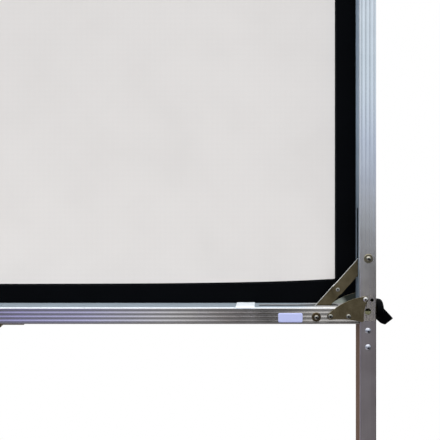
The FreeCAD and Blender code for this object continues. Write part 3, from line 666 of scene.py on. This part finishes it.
def wave(x, z):
    """Slight depth of the stretched fabric, still where the snaps hold it."""
    broad = math.sin(x * wave_turns[0] + wave_start[0]) * math.sin(z * wave_turns[1] + wave_start[1])
    fine = math.sin(x * fine_turns[0] + z * fine_turns[1]) * fine_share
    inside = min(upright_x - abs(x), z - rail_z, top_rail_z - z) - tube_half
    return wave_depth * (broad + fine) * min(max(inside / held_reach, 0.0), 1.0)


def pulled(distance):
    """How far a corner's snap draws the seam inwards at a distance from that corner."""
    return corner_pull * math.exp(-distance / corner_pull_reach)


def seam(x):
    """Heights of the border's lower and upper seams at a place along the rails."""
    lift = pulled(upright_x - x) + pulled(upright_x + x)
    low = rail_z + tube_half + border_low + lift
    high = top_rail_z - tube_half - border_low - lift
    return low, high


def woven_cloth(name, light, dark, spacing, roughness, gloss, coat=None):
    """Plain weave: two sets of threads that cross, with a faint cloud of uneven dye.
    A coat is the colour of the coated side, which looks along +Y."""
    made, tree, at = blank_material(name)
    per_thread = 2.0 * math.pi / (wave_node_turns * spacing)
    warp, weft = (add(tree, "ShaderNodeTexWave", {
        "Vector": at, "Scale": per_thread, "Distortion": thread_distortion, "Detail": 1.0},
        bands_direction=axis).outputs["Fac"] for axis in ("X", "Z"))
    weave = add(tree, "ShaderNodeMath", {0: warp, 1: weft}, operation="ADD").outputs[0]
    cloud = add(tree, "ShaderNodeTexNoise", {
        "Vector": at, "Scale": 1.0 / dye_cloud, "Detail": 5.0}).outputs["Fac"]
    both = add(tree, "ShaderNodeMath", {0: weave, 1: cloud}, operation="MULTIPLY").outputs[0]
    shade = add(tree, "ShaderNodeMapRange", {
        "Value": both, "From Min": weave_shade[0], "From Max": weave_shade[1]}).outputs[0]
    colour = add(tree, "ShaderNodeMix", {
        0: shade, 6: linear(dark), 7: linear(light)}, data_type="RGBA").outputs[2]
    if coat:
        normal = add(tree, "ShaderNodeTexCoord").outputs["Normal"]
        face = add(tree, "ShaderNodeSeparateXYZ", {"Vector": normal}).outputs
        coated = add(tree, "ShaderNodeMath", {0: face["Y"], 1: 0.0}, operation="GREATER_THAN").outputs[0]
        colour = add(tree, "ShaderNodeMix", {
            0: coated, 6: colour, 7: linear(coat)}, data_type="RGBA").outputs[2]
    bump = add(tree, "ShaderNodeBump", {
        "Height": weave, "Strength": weave_bump, "Distance": weave_depth}).outputs[0]
    cloth = add(tree, "ShaderNodeBsdfPrincipled", {
        "Base Color": colour, "Roughness": roughness, "IOR": cloth_ior, "Specular IOR Level": gloss,
        "Normal": bump}).outputs[0]
    add(tree, "ShaderNodeOutputMaterial", {"Surface": cloth})
    return made


white_cloth = woven_cloth("white_polyester", fabric_white, fabric_shade, thread_spacing, fabric_roughness,
                          fabric_gloss, coat=fabric_coat)
inner_x = upright_x - tube_half - border_inside
verts = []
for row in range(sheet_rows + 1):
    for column in range(sheet_columns + 1):
        x = (2.0 * column / sheet_columns - 1.0) * (inner_x + sewn_under)
        low, high = seam(x)
        z = low - sewn_under + (high - low + 2.0 * sewn_under) * row / sheet_rows
        verts.append((x, fabric_y + wave(x, z), z))
stride = sheet_columns + 1
faces = [(r * stride + c, r * stride + c + 1, (r + 1) * stride + c + 1, (r + 1) * stride + c)
         for r in range(sheet_rows) for c in range(sheet_columns)]
sheet = mesh_piece("white_sheet", verts, faces, white_cloth)


# The border: a band of black nylon sewn round the white fabric, wide enough to reach over the tubes.
# It carries the snaps. Nylon weave is close and dull, so the band looks nearly flat black.
border_y = 20.0 * MM
border_over_tube = 26.0 * MM
outer_x = upright_x - tube_half + border_over_tube
outer_low = rail_z + tube_half - border_over_tube
outer_high = top_rail_z - tube_half + border_over_tube
strip_columns = 180
strip_rows = 5
border_black = "#08090c"
border_dark = "#040506"
border_roughness = 0.8
border_gloss = 0.03
border_thread = 1.6 * MM  # real threads lie about 0.3 mm apart: drawn coarser, so that they show


def strip(verts, faces, start, end):
    """Add a band of quads between two edges, each a function of the share along the band."""
    first = len(verts)
    for row in range(strip_rows + 1):
        for column in range(strip_columns + 1):
            share = column / strip_columns
            p = Vector(start(share)).lerp(Vector(end(share)), row / strip_rows)
            verts.append((p.x, border_y + wave(p.x, p.y), p.y))
    step = strip_columns + 1
    for r in range(strip_rows):
        for c in range(strip_columns):
            i = first + r * step + c
            faces.append((i, i + 1, i + step + 1, i + step))


def along_rails(share):
    """Place along the rails, from the left seam to the right one."""
    return (2.0 * share - 1.0) * inner_x


def up_border(share):
    """Height on the border, from its lower edge to its upper one."""
    return outer_low + share * (outer_high - outer_low)


black_cloth = woven_cloth("black_nylon", border_black, border_dark, border_thread, border_roughness,
                          border_gloss)
verts = []
faces = []
strip(verts, faces, lambda s: (along_rails(s), outer_low),
      lambda s: (along_rails(s), seam(along_rails(s))[0]))
strip(verts, faces, lambda s: (along_rails(s), seam(along_rails(s))[1]),
      lambda s: (along_rails(s), outer_high))
strip(verts, faces, lambda s: (inner_x, up_border(s)), lambda s: (outer_x, up_border(s)))
strip(verts, faces, lambda s: (-outer_x, up_border(s)), lambda s: (-inner_x, up_border(s)))
border = mesh_piece("black_border", verts, faces, black_cloth)
for piece, node, slot in ((sheet, "screen_fabric", "white_fabric"),
                          (border, "fabric_border", "black_fabric")):
    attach(piece, "fabric")
    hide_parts(node)
    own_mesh(piece)


# The seam: a row of lockstitch joins border and fabric, black thread on the frame's side, white on the
# other. Polyester thread is round and faintly glossy. It is drawn a little thicker than real, to show.
stitch_length = 3.4 * MM
stitch_pitch = 4.8 * MM
stitch_flat = 0.3  # share of its length to each side where a stitch is at full thickness
stitch_in = 3.0 * MM
thread_half = 0.3 * MM
thread_black = "#17181c"
thread_black_dark = "#0c0d10"
thread_white = "#dcdad6"
thread_white_dark = "#c4c2be"
thread_roughness = 0.6
thread_gloss = 0.3


def seam_line():
    """The middle and direction of each stitch, along the four sides of the white fabric."""
    places = []
    side_x = inner_x + stitch_in
    low, high = seam(side_x)
    for step in range(int(2.0 * inner_x / stitch_pitch)):
        x = -inner_x + (step + 0.5) * stitch_pitch
        under, over = seam(x)
        places.append((x, under - stitch_in, 1.0, 0.0))
        places.append((x, over + stitch_in, 1.0, 0.0))
    for step in range(int((high - low) / stitch_pitch)):
        z = low + (step + 0.5) * stitch_pitch
        places.append((-side_x, z, 0.0, 1.0))
        places.append((side_x, z, 0.0, 1.0))
    return places


def stitch_row(name, depth, material):
    """All stitches on one side of the seam, each a short length of thread that dips in at both ends."""
    points = []
    thread_faces = []
    for x, z, run_x, run_z in seam_line():
        middle = Vector((x, depth + wave(x, z), z))
        run = Vector((run_x, 0.0, run_z))
        out = Vector((0.0, 1.0, 0.0))
        wide = run.cross(out)
        around = (out, wide, -out, -wide)
        start = len(points)
        near = start + 1
        far = near + len(around)
        end = far + len(around)
        points.append(middle - run * stitch_length / 2.0)
        for share in (-stitch_flat, stitch_flat):
            for turn in around:
                points.append(middle + run * stitch_length * share + turn * thread_half)
        points.append(middle + run * stitch_length / 2.0)
        for step in range(len(around)):
            after = (step + 1) % len(around)
            thread_faces.append((start, near + after, near + step))
            thread_faces.append((near + step, near + after, far + after, far + step))
            thread_faces.append((far + step, far + after, end))
    made = mesh_piece(name, points, thread_faces, material)
    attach(made, "fabric")
    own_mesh(made)
    return made


black_thread = moulded_plastic("black_polyester_thread", thread_black, thread_black_dark, thread_half,
                               thread_roughness, thread_gloss)
white_thread = moulded_plastic("white_polyester_thread", thread_white, thread_white_dark, thread_half,
                               thread_roughness, thread_gloss)
black_row = stitch_row("black_stitching", border_y - thread_half / 2.0, black_thread)
white_row = stitch_row("white_stitching", fabric_y + thread_half / 2.0, white_thread)


# The snaps: black press studs of moulded acetal, eight along each rail and five along each upright.
# Each has a domed cap with a rim on the viewing side, and a socket between the border and the tube.
# Acetal is smooth and slightly shiny.
snap_base = 16.25 * MM
snap_line = ((4.2, 0.0), (5.6, 0.25), (6.0, 0.9), (6.0, 4.3), (7.4, 4.4), (7.5, 4.7), (7.5, 5.2), (7.1, 5.75),
             (6.5, 5.9), (6.0, 5.8), (4.6, 6.25), (2.6, 6.5), (0.8, 6.55))
snap_corner_gap = 230.0 * MM
rail_snaps = 8
upright_snaps = 5
snap_black = "#151517"
snap_rubbed = "#202023"
snap_roughness = 0.35
snap_gloss = 0.5

snap_places = []
for step in range(rail_snaps):
    x = (upright_x - snap_corner_gap) * (2.0 * step / (rail_snaps - 1) - 1.0)
    snap_places += [(x, rail_z), (x, top_rail_z)]
for step in range(upright_snaps):
    z = rail_z + snap_corner_gap + (top_rail_z - rail_z - 2.0 * snap_corner_gap) * step / (upright_snaps - 1)
    snap_places += [(-upright_x, z), (upright_x, z)]
verts = []
faces = []
for x, z in snap_places:
    turned(verts, faces, snap_line, Vector((x, snap_base, z)), Vector((0, 1, 0)), Vector((1, 0, 0)))
black_acetal = moulded_plastic("black_acetal", snap_black, snap_rubbed, abs_grain, snap_roughness, snap_gloss)
snaps = mesh_piece("snap_studs", verts, faces, black_acetal)
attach(snaps, "fabric")
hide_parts("border_snaps")
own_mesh(snaps)


# The stickers on the lower rail: two bare paper labels, put on last when the frame is packed.
# One is white, folded over the rail's top edge and a little askew. One is pale lilac, on the front face.
# Label paper is smooth and matt, and ripples slightly where the glue lets go.
label_thick = 0.15 * MM
label_columns = 24
label_ripple = 0.12 * MM
ripple_turns = 11.0
ripple_slant = 0.3
label_fibre = 1.2 * MM  # real fibre clouds are finer: drawn coarser, so that they show
paper_bump = 0.1
paper_depth = 0.05 * MM
paper_roughness = 0.6
paper_gloss = 0.3
paper_ior = 1.5
top_label_white = "#e5e8ea"
top_label_shade = "#d9dde1"
top_label_line = ((-16.2, 13.0), (-16.15, 14.6), (-15.5, 15.7), (-14.2, 16.3), (-8.0, 16.35), (0.0, 16.4),
                  (7.0, 16.45), (12.0, 16.6), (15.5, 16.9))
top_label_front = (1135.0 * MM, 1171.2 * MM)
top_label_back = (1139.2 * MM, 1173.8 * MM)
front_label_lilac = "#c3c7ee"
front_label_shade = "#b6bae0"
front_label_ends = (1215.4 * MM, 1261.3 * MM)
front_label_low = -12.6 * MM
front_label_high = 5.2 * MM
front_label_y = -16.2 * MM
front_label_round = 1.6 * MM
front_label_rows = 8


def label_paper(name, light, dark):
    """Coated label paper: fine fibre clouds and a low gloss."""
    made, tree, at = blank_material(name)
    fibre = add(tree, "ShaderNodeTexNoise", {
        "Vector": at, "Scale": 1.0 / label_fibre, "Detail": 4.0}).outputs["Fac"]
    colour = add(tree, "ShaderNodeMix", {
        0: fibre, 6: linear(dark), 7: linear(light)}, data_type="RGBA").outputs[2]
    bump = add(tree, "ShaderNodeBump", {
        "Height": fibre, "Strength": paper_bump, "Distance": paper_depth}).outputs[0]
    paper = add(tree, "ShaderNodeBsdfPrincipled", {
        "Base Color": colour, "Roughness": paper_roughness, "IOR": paper_ior,
        "Specular IOR Level": paper_gloss, "Normal": bump}).outputs[0]
    add(tree, "ShaderNodeOutputMaterial", {"Surface": paper})
    return made


def thin_label(name, rows, material):
    """A label of paper thickness: rows of points from one end of it to the other."""
    stride = len(rows[0])
    points = [Vector(point) for row in rows for point in row]
    paper_faces = [(r * stride + c, r * stride + c + 1, (r + 1) * stride + c + 1, (r + 1) * stride + c)
                   for r in range(len(rows) - 1) for c in range(stride - 1)]
    made = mesh_piece(name, points, paper_faces, material)
    thick = made.modifiers.new("paper_thickness", "SOLIDIFY")
    thick.thickness = label_thick
    thick.offset = 1.0
    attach(made, "bottom_rail_1")


rows = []
label_depth = top_label_line[-1][0] - top_label_line[0][0]
for step in range(label_columns + 1):
    share = step / label_columns
    row = []
    for y, z in top_label_line:
        back = (y - top_label_line[0][0]) / label_depth
        start, end = (front + back * (far - front) for front, far in zip(top_label_front, top_label_back))
        x = start + share * (end - start)
        lift = label_ripple * (1.0 + math.sin(ripple_turns * share + ripple_slant * y))
        row.append((x, y * MM, rail_z + z * MM + lift))
    rows.append(row)
thin_label("top_label", rows, label_paper("white_label_paper", top_label_white, top_label_shade))
rows = []
label_length = front_label_ends[1] - front_label_ends[0]
for step in range(label_columns + 1):
    share = step / label_columns
    from_end = min(share, 1.0 - share) * label_length
    curve = max(front_label_round - from_end, 0.0)
    short = front_label_round - math.sqrt(front_label_round ** 2 - curve ** 2)
    x = front_label_ends[0] + share * label_length
    low = rail_z + front_label_low + short
    high = rail_z + front_label_high - short
    rows.append([(x, front_label_y, low + (high - low) * part / front_label_rows)
                 for part in range(front_label_rows + 1)])
thin_label("front_label", rows, label_paper("lilac_label_paper", front_label_lilac, front_label_shade))


# The floor: a small pale sheet under the feet, painted matt, which only takes the shadows.
# Its paint is slightly cloudy.
floor_pale = "#a5a19d"
floor_paler = "#aeaba7"
floor_roughness = 0.9
floor_cloud = 1000.0 / 3.0 * MM  # three clouds to the metre
floor_half_x = 1550.0 * MM
floor_half_y = 520.0 * MM

floor_paint, tree, at = blank_material("matt_floor")
cloud = add(tree, "ShaderNodeTexNoise", {
    "Vector": at, "Scale": 1.0 / floor_cloud, "Detail": 4.0}).outputs["Fac"]
colour = add(tree, "ShaderNodeMix", {
    0: cloud, 6: linear(floor_pale), 7: linear(floor_paler)}, data_type="RGBA").outputs[2]
matt = add(tree, "ShaderNodeBsdfPrincipled", {"Base Color": colour, "Roughness": floor_roughness}).outputs[0]
add(tree, "ShaderNodeOutputMaterial", {"Surface": matt})
floor_corners = [(-floor_half_x, -floor_half_y, 0), (floor_half_x, -floor_half_y, 0),
                 (floor_half_x, floor_half_y, 0), (-floor_half_x, floor_half_y, 0)]
floor = mesh_piece("floor", floor_corners, [(0, 1, 2, 3)], floor_paint)


# The daylight: white to the camera and behind the screen. On the side that the tubes face, it runs from
# pale blue sky down to dark ground, with lilac and dark stretches low down, so that the metal has
# something to show. Stops are given as a share from straight down to up, or from left to right.
backdrop_white = "#ffffff"
behind_from = (0.3, 0.5)
sky_stops = ((0.0, "#2a2624"), (0.35, "#201f1f"), (0.376, "#332c2a"), (0.416, "#888786"), (0.447, "#b3b5b8"),
             (0.48, "#b9c3d8"), (0.512, "#e3efff"), (0.545, "#e8f6ff"), (0.7, "#eef6ff"), (1.0, "#f2f7ff"))
ground_stops = ((0.0, "#4c4c58"), (0.3, "#5c5d72"), (0.36, "#bcbcff"), (0.392, "#c0c1ff"), (0.43, "#dde1ff"),
                (0.474, "#e9ecf0"), (0.512, "#928888"), (0.53, "#151415"), (0.565, "#151415"),
                (0.58, "#ffffff"), (0.604, "#ffffff"), (0.612, "#38332f"), (1.0, "#38332f"))
ground_from = (-0.215, -0.26)
ground_until = (-0.5, -0.62)


def fill_ramp(ramp, stops):
    """Set a colour ramp's stops."""
    elements = ramp.color_ramp.elements
    elements[0].color = linear(stops[0][1])
    elements[1].position = stops[-1][0]
    elements[1].color = linear(stops[-1][1])
    for place, code in stops[1:-1]:
        elements.new(place).color = linear(code)


world = bpy.data.worlds.new("daylight")
bpy.context.scene.world = world
world.use_nodes = True
tree = world.node_tree
tree.nodes.clear()
way = add(tree, "ShaderNodeTexCoord").outputs["Generated"]
axes = add(tree, "ShaderNodeSeparateXYZ", {"Vector": way}).outputs
height = add(tree, "ShaderNodeMapRange", {"Value": axes["Z"], "From Min": -1.0, "From Max": 1.0}).outputs[0]
sky = add(tree, "ShaderNodeValToRGB", {"Fac": height})
fill_ramp(sky, sky_stops)
sideways = add(tree, "ShaderNodeMapRange", {"Value": axes["X"], "From Min": -1.0, "From Max": 1.0}).outputs[0]
ground = add(tree, "ShaderNodeValToRGB", {"Fac": sideways})
fill_ramp(ground, ground_stops)
low = add(tree, "ShaderNodeMapRange", {
    "Value": axes["Z"], "From Min": ground_from[0], "From Max": ground_from[1]}).outputs[0]
deep = add(tree, "ShaderNodeMapRange", {
    "Value": axes["Z"], "From Min": ground_until[0], "From Max": ground_until[1]}).outputs[0]
band = add(tree, "ShaderNodeMath", {0: low, 1: deep}, operation="SUBTRACT").outputs[0]
facing = add(tree, "ShaderNodeMix", {
    0: band, 6: sky.outputs[0], 7: ground.outputs[0]}, data_type="RGBA").outputs[2]
behind = add(tree, "ShaderNodeMapRange", {
    "Value": axes["Y"], "From Min": behind_from[0], "From Max": behind_from[1]}).outputs[0]
around = add(tree, "ShaderNodeMix", {
    0: behind, 6: facing, 7: linear(backdrop_white)}, data_type="RGBA").outputs[2]
seen = add(tree, "ShaderNodeLightPath").outputs["Is Camera Ray"]
around = add(tree, "ShaderNodeMix", {
    0: seen, 6: around, 7: linear(backdrop_white)}, data_type="RGBA").outputs[2]
light = add(tree, "ShaderNodeBackground", {"Color": around, "Strength": 1.0}).outputs[0]
add(tree, "ShaderNodeOutputWorld", {"Surface": light})


# The overhead light: a wide soft sun, nearly straight above and a little in front of the fabric.
# It lifts the fabric and the tops of the rails, and leaves soft shadows.
sun_strength = 3.7
sun_spread = math.radians(115.0)
sun_rise = math.radians(82.0)
sun_turn = math.radians(75.0)

sun = bpy.data.lights.new("overhead_light", "SUN")
sun.energy = sun_strength
sun.angle = sun_spread
sun_lamp = bpy.data.objects.new("overhead_light", sun)
shining = Vector((math.cos(sun_rise) * math.cos(sun_turn), math.cos(sun_rise) * math.sin(sun_turn),
                  -math.sin(sun_rise)))
sun_lamp.rotation_euler = shining.to_track_quat("-Z", "Y").to_euler()
bpy.context.scene.collection.objects.link(sun_lamp)


# The view: square on to the back of the lower right corner, as a photographer stands there.
# The picture is shifted on the lens, right and down, so that upright and rail stay straight.
picture_width = 440.0
picture_right = 10.0
picture_down = 85.0

eye = bpy.data.cameras.new("corner_view")
eye.lens = 50.0
eye.sensor_width = 36.0
eye.shift_x = picture_right / picture_width
eye.shift_y = -picture_down / picture_width
eye.clip_start = 0.05
camera = bpy.data.objects.new("corner_view", eye)
camera.location = (1.0871, -1.166, 0.9763)
camera.rotation_euler = (math.radians(90.0), 0.0, 0.0)
bpy.context.scene.collection.objects.link(camera)
bpy.context.scene.camera = camera
bpy.context.scene.view_settings.view_transform = "Standard"
